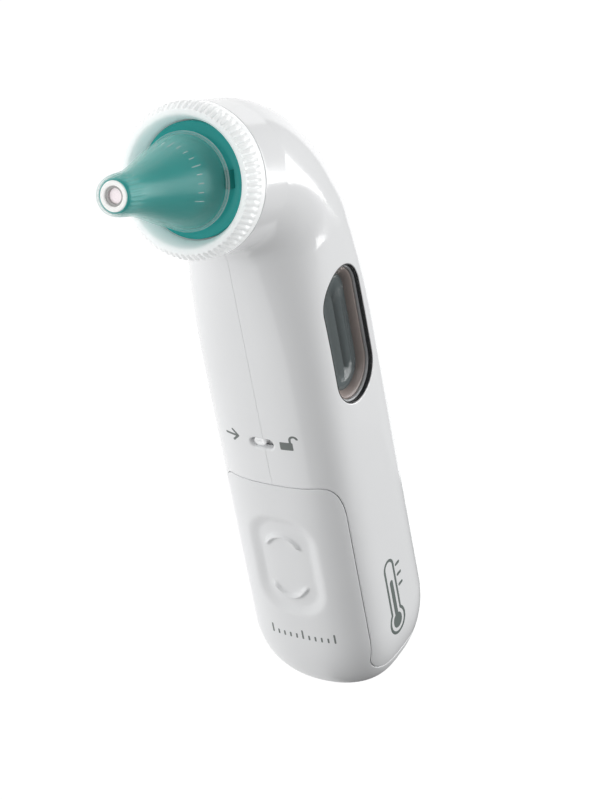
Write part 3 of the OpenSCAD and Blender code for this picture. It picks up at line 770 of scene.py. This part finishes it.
# Outline of a stadium shrunk by an inset: straight runs and half circles, evenly spaced.
def stadiumLine(x0, y0, length, width, inset, count=160):
    half, r = (length - width) / 2, width / 2
    total = 4 * half + 2 * np.pi * r
    s = np.arange(count) / count * total
    quarter = np.pi * r
    a = np.clip(s, 0, quarter)
    b = np.clip(s - quarter, 0, 2 * half)
    c = np.clip(s - quarter - 2 * half, 0, quarter)
    d = np.clip(s - 2 * quarter - 2 * half, 0, 2 * half)
    turn = -np.pi / 2 + (a + c) / r
    cx = half - b + d
    return np.stack([x0 + cx + (r - inset) * np.cos(turn), y0 + (r - inset) * np.sin(turn)], axis=1)


# Stacked outlines: row k is the stadium shrunk by inset k at height k; both ends close on their middle line.
# With follow, a height of 2 * midZ means the skin over that point, so the piece lies flush with it.
def stacked(name, x0, y0, length, width, rows, follow=False, count=160):
    lines = [np.c_[stadiumLine(x0, y0, length, width, i, count), np.full(count, float(z))] for i, z in rows]
    grid = np.stack(lines)
    if follow:
        skin = skinPoint(grid[..., 0], grid[..., 1], "flank")[..., 2]
        grid[..., 2] += skin - 2 * midZ
    points, tris = weld(grid.reshape(-1, 3), gridTris(*grid.shape[:2], closedAlong=True))
    return addPiece(name, points, outward(points, tris))


# The pane, its gap and its rim follow the skin, so their feet are heights where 2 * midZ means the skin.
display = {
    "paneTop": 0.04, "paneThick": 0.8, "gapFoot": 29.9, "rimFoot": 29.8, "wallFoot": 27.6, "wallInset": 0.72,
    "wallWide": 2.3, "glassTop": 28.5, "glassThick": 0.5, "middleGap": 0.002,
}


def buildDisplay():
    d, h = display, holes
    middle = h["windowWidth"] / 2 - d["middleGap"]
    place = (h["windowX"], h["windowY"], h["windowLength"], h["windowWidth"])
    gapPaint = moulded("window gap", (22, 22, 24), 0.25, 0.0005, 0.03, 0.04, 0.1)
    rimPaint = moulded("window inner rim", (206, 208, 210), 0.3, 0.0005, 0.03, 0.04, 0.1)
    wallPaint = moulded("window surround", (172, 158, 152), 0.38, 0.0005, 0.1, 0.05, 0.1)
    glassPaint = moulded("display glass", (104, 113, 114), 0.16, 0.0009, 0.01, 0.03, 0.0,
                         Specular_IOR_Level=0.4)

    top = 2 * midZ - d["paneTop"]
    low = top - d["paneThick"]
    pane = [(middle, top), (4, top), (1.0, top), (0.5, top - 0.03), (0.34, top - 0.1), (0.26, top - 0.25),
            (0.26, low + 0.1), (0.4, low), (4, low), (middle, low)]
    piece = stacked("windowPane", *place, pane, follow=True)
    finishPiece(piece, "housing", smokePane, "window_smoke", "display_window")
    foot = d["gapFoot"]
    gap = [(0.08, foot), (0.08, top - 0.16), (0.14, top - 0.1), (0.2, top - 0.12), (0.22, top - 0.2),
           (0.22, foot)]
    finishPiece(stacked("windowGap", *place, gap, follow=True), "housing", gapPaint, "frame_black")
    foot = d["rimFoot"]
    rim = [(0.24, foot), (0.24, top - 0.95), (0.3, top - 0.9), (0.62, top - 0.92), (0.7, top - 1.02),
           (0.7, foot)]
    finishPiece(stacked("windowRim", *place, rim, follow=True), "housing", rimPaint, "frame_black")
    foot, near, far, glass = d["wallFoot"], d["wallInset"], d["wallWide"], d["glassTop"]
    wall = [(near, foot), (near, 29.86), (1.1, 29.9), (1.4, 29.7), (far, glass + 0.05), (far, foot)]
    finishPiece(stacked("displaySurround", *place, wall), "housing", wallPaint, "frame_black", "lcd_frame")
    back = glass - d["glassThick"]
    plate = [(middle, glass), (3.2, glass), (far + 0.04, glass), (far, glass - 0.1), (far, back),
             (middle, back)]
    finishPiece(stacked("displayGlass", *place, plate), "housing", glassPaint, "lcd_grey", "lcd_panel")


# Screw posts inside the shells: each has a foot and a head, and a well for its screw from the left flank.
posts = {"ends": ((2.8, 28.4), (3.8, 27.6), (1.5, 29.8)), "radius": 2.6, "well": 2.1, "seat": 6.0,
         "bore": 1.1, "boreEnd": 27.0, "around": 48}


def buildPosts():
    g = posts
    turn = (np.arange(g["around"]) / g["around"] * 2 * np.pi)[None, :]
    allPoints, allTris = [], []
    for (x, y), (foot, head) in zip(holes["screws"], g["ends"]):
        outline = np.array([(0.0, g["boreEnd"]), (g["bore"], g["boreEnd"]), (g["bore"], g["seat"]),
                            (g["well"], g["seat"]), (g["well"], foot), (g["radius"], foot),
                            (g["radius"], head), (0.0, head)])
        r, z = outline[:, 0][:, None], outline[:, 1][:, None] + 0 * turn
        grid = np.stack([x + r * np.cos(turn), y + r * np.sin(turn), z], axis=-1)
        points, tris = weld(grid.reshape(-1, 3), gridTris(*grid.shape[:2], closedAlong=True))
        allTris.append(outward(points - points.mean(0), tris) + sum(len(p) for p in allPoints))
        allPoints.append(points)
    post = addPiece("screwPosts", np.vstack(allPoints), np.vstack(allTris), smooth=False)
    finishPiece(post, "housing", shellPaint, "shell_white")


# A rounded cap over the latch's nub, seen through the release slot.
nub = {"x": -3.2, "z": 14.3, "length": 2.86, "width": 2.06, "foot": -13.9, "top": -15.05, "dish": 0.16,
       "steps": 64}


def buildNub():
    g = nub
    half = g["width"] / 2
    rows = [(half - 0.002, g["foot"]), (0.0, g["foot"]), (0.0, g["top"] + 0.4), (0.1, g["top"] + 0.12),
            (0.34, g["top"]), (0.7, g["top"] + g["dish"]), (half - 0.002, g["top"] + g["dish"])]
    line = np.stack([stadiumLine(0, 0, g["length"], g["width"], i, g["steps"]) for i, _ in rows])
    depth = np.array([y for _, y in rows])[:, None] + 0 * line[..., 0]
    grid = np.stack([g["x"] + line[..., 1], depth, g["z"] + line[..., 0]], axis=-1)
    points, tris = weld(grid.reshape(-1, 3), gridTris(*grid.shape[:2], closedAlong=True))
    cap = addPiece("latchNub", points, outward(points, tris))
    finishPiece(cap, "door_latch", latchGlowPaint, "latch_white")


buildDisplay()
buildNub()
buildPosts()
print("stage: display and latch set in")


# Finishes of the frame's own nodes.
finishes = {
    "contact_strips": ("rubber strips", (66, 66, 70), 0.7, {}),
    "main_board": ("board green", (24, 92, 58), 0.4, {}),
    "controller_chip": ("chip black", (30, 30, 32), 0.5, {}),
    "buzzer": ("buzzer black", (34, 34, 36), 0.45, {}),
    "start_switch": ("switch metal", (186, 188, 192), 0.35, {"Metallic": 0.8}),
    "power_switch": ("switch metal two", (186, 188, 192), 0.35, {"Metallic": 0.8}),
    "start_button": ("start button grey", (150, 158, 160), 0.4, {}),
    "power_button": ("power button grey", (150, 158, 160), 0.4, {}),
    "battery_holder": ("holder black", (44, 44, 46), 0.5, {}),
    "coin_cells": ("cell steel", (200, 202, 204), 0.22, {"Metallic": 1.0}),
    "cell_contact_plus": ("contact spring steel", (196, 190, 172), 0.3, {"Metallic": 1.0}),
    "cell_contact_minus": ("contact plate steel", (196, 190, 172), 0.3, {"Metallic": 1.0}),
    "door_latch": ("latch plate white", (238, 239, 240), 0.3, {}),
    "ejector_spring": ("return spring steel", (176, 178, 182), 0.25, {"Metallic": 1.0}),
    "probe_carrier": ("carrier grey", (58, 60, 62), 0.5, {}),
    "sensor_barrel": ("inner barrel steel", (160, 158, 156), 0.3, {"Metallic": 1.0}),
    "waveguide_tube": ("gilt guide", (214, 176, 92), 0.2, {"Metallic": 1.0}),
    "thermopile_sensor": ("sensor can", (190, 190, 194), 0.3, {"Metallic": 1.0}),
    "sensor_cable": ("cable amber", (190, 124, 48), 0.4, {}),
    "filter_detector": ("detector pin teal", (10, 118, 114), 0.4, {}),
    "detector_switch": ("detector switch black", (46, 46, 50), 0.5, {}),
    "housing_screws": ("screw steel", (150, 152, 156), 0.3, {"Metallic": 1.0}),
}


def paintNode(nodeName, material):
    nodes[nodeName].data.materials.clear()
    nodes[nodeName].data.materials.append(material)


for nodeName, (materialName, rgb, roughness, sockets) in finishes.items():
    paintNode(nodeName, moulded(materialName, rgb, roughness, 0.0004, 0.06, 0.05, 0.15, **sockets))
paintNode("filter_film", clearFilm("tip film clear", (226, 236, 236), 0.06, 0.3))
print("stage: frame nodes finished")


# Distances in metres, angles in degrees; offRight and offDown move the view off the ring's centre.
studio = {
    "distance": 0.752, "side": 34.7, "high": 33.5, "roll": 10.9, "lens": 175.0, "offRight": -0.02253,
    "offDown": -0.04218, "floorSize": 6.0, "floorDrop": 0.0002, "cardX": 0.105, "cardHalf": 0.13,
    "cardHeight": 0.15, "worldLight": 0.22, "worldSeen": 1.05,
}


def buildFloor():
    half = studio["floorSize"] / mm
    corners = np.array([(-half, -half, 0), (half, -half, 0), (half, half, 0), (-half, half, 0)])
    floor = addPiece("studioFloor", corners, np.array([(0, 1, 2), (0, 2, 3)]), smooth=False)
    floor.location.z = -studio["floorDrop"]
    paint = moulded("floor white", (60, 60, 60), 0.9, 0.002, 0.0, 0.003, 0.0, Specular_IOR_Level=0.0)
    shader = paint.node_tree.nodes["Principled BSDF"]
    shader.inputs["Emission Color"].default_value = (1, 1, 1, 1)
    shader.inputs["Emission Strength"].default_value = 1.0
    floor.data.materials.append(paint)


# A dark card beyond the tail, hidden from the camera and casting no shadow, for the tail to reflect.
def buildCard():
    x, y, z = (studio[key] / mm for key in ("cardX", "cardHalf", "cardHeight"))
    corners = np.array([(x, -y, 1.0), (x, y, 1.0), (x, y, z), (x, -y, z)])
    card = addPiece("studioCard", corners, np.array([(0, 2, 1), (0, 3, 2)]), smooth=False)
    card.data.materials.append(moulded("card grey", (40, 40, 40), 0.9, 0.002, 0.0, 0.01, 0.0))
    card.visible_camera = False
    card.visible_shadow = False


# A rectangular light, in metres and watts, that faces its target.
def softLight(name, place, target, size, power):
    data = bpy.data.lights.new(name, "AREA")
    data.shape = "RECTANGLE"
    data.size, data.size_y = size
    data.energy = power
    light = bpy.data.objects.new(name, data)
    light.location = place
    light.rotation_euler = (Vector(target) - Vector(place)).to_track_quat("-Z", "Y").to_euler()
    bpy.context.scene.collection.objects.link(light)


def buildLight():
    world = bpy.data.worlds.new("studio air")
    world.use_nodes = True
    bpy.context.scene.world = world
    n, link = world.node_tree.nodes, world.node_tree.links
    back = n["Background"]
    back.inputs["Color"].default_value = (1, 1, 1, 1)
    back.inputs["Strength"].default_value = studio["worldLight"]
    seen = n.new("ShaderNodeBackground")
    seen.inputs["Color"].default_value = (1, 1, 1, 1)
    seen.inputs["Strength"].default_value = studio["worldSeen"]
    ray, pick = n.new("ShaderNodeLightPath"), n.new("ShaderNodeMixShader")
    link.new(ray.outputs["Is Camera Ray"], pick.inputs["Fac"])
    link.new(back.outputs["Background"], pick.inputs[1])
    link.new(seen.outputs["Background"], pick.inputs[2])
    link.new(pick.outputs["Shader"], n["World Output"].inputs["Surface"])
    softLight("rear light", (0.04, 0.5, 0.62), (-0.01, 0, 0.015), (0.6, 0.6), 6.6)
    softLight("head light", (-0.80, -0.10, 0.25), (-0.02, 0, 0.015), (0.5, 0.4), 0.25)
    softLight("front light", (-0.35, -0.80, 0.10), (-0.01, 0, 0.015), (0.7, 0.2), 1.5)


# Right-handed view axes: the camera stands to the right of, above and in front of the upright handle.
def buildCamera():
    side, high, roll = (math.radians(studio[k]) for k in ("side", "high", "roll"))
    rightAxis, upAxis, frontAxis = np.array([0, 0, 1.0]), np.array([-1.0, 0, 0]), np.array([0, -1.0, 0])
    toCamera = (math.sin(side) * math.cos(high) * rightAxis + math.sin(high) * upAxis
                + math.cos(side) * math.cos(high) * frontAxis)
    across = math.cos(side) * rightAxis - math.sin(side) * frontAxis
    upward = (-math.sin(side) * math.sin(high) * rightAxis + math.cos(high) * upAxis
              - math.cos(side) * math.sin(high) * frontAxis)
    imageRight = across * math.cos(roll) - upward * math.sin(roll)
    imageUp = across * math.sin(roll) + upward * math.cos(roll)
    place = (ringCentre * mm + studio["distance"] * toCamera
             - studio["offRight"] * imageRight + studio["offDown"] * imageUp)
    data = bpy.data.cameras.new("studio camera")
    data.lens = studio["lens"]
    data.sensor_width = 36.0
    data.clip_start, data.clip_end = 0.05, 20.0
    camera = bpy.data.objects.new("studio camera", data)
    turn = Matrix(np.column_stack([imageRight, imageUp, toCamera]).tolist()).to_4x4()
    turn.translation = Vector(place)
    camera.matrix_world = turn
    bpy.context.scene.collection.objects.link(camera)
    bpy.context.scene.camera = camera


buildFloor()
buildCard()
buildLight()
buildCamera()
bpy.context.scene.view_settings.view_transform = "Standard"
print("stage: floor, light and camera set")
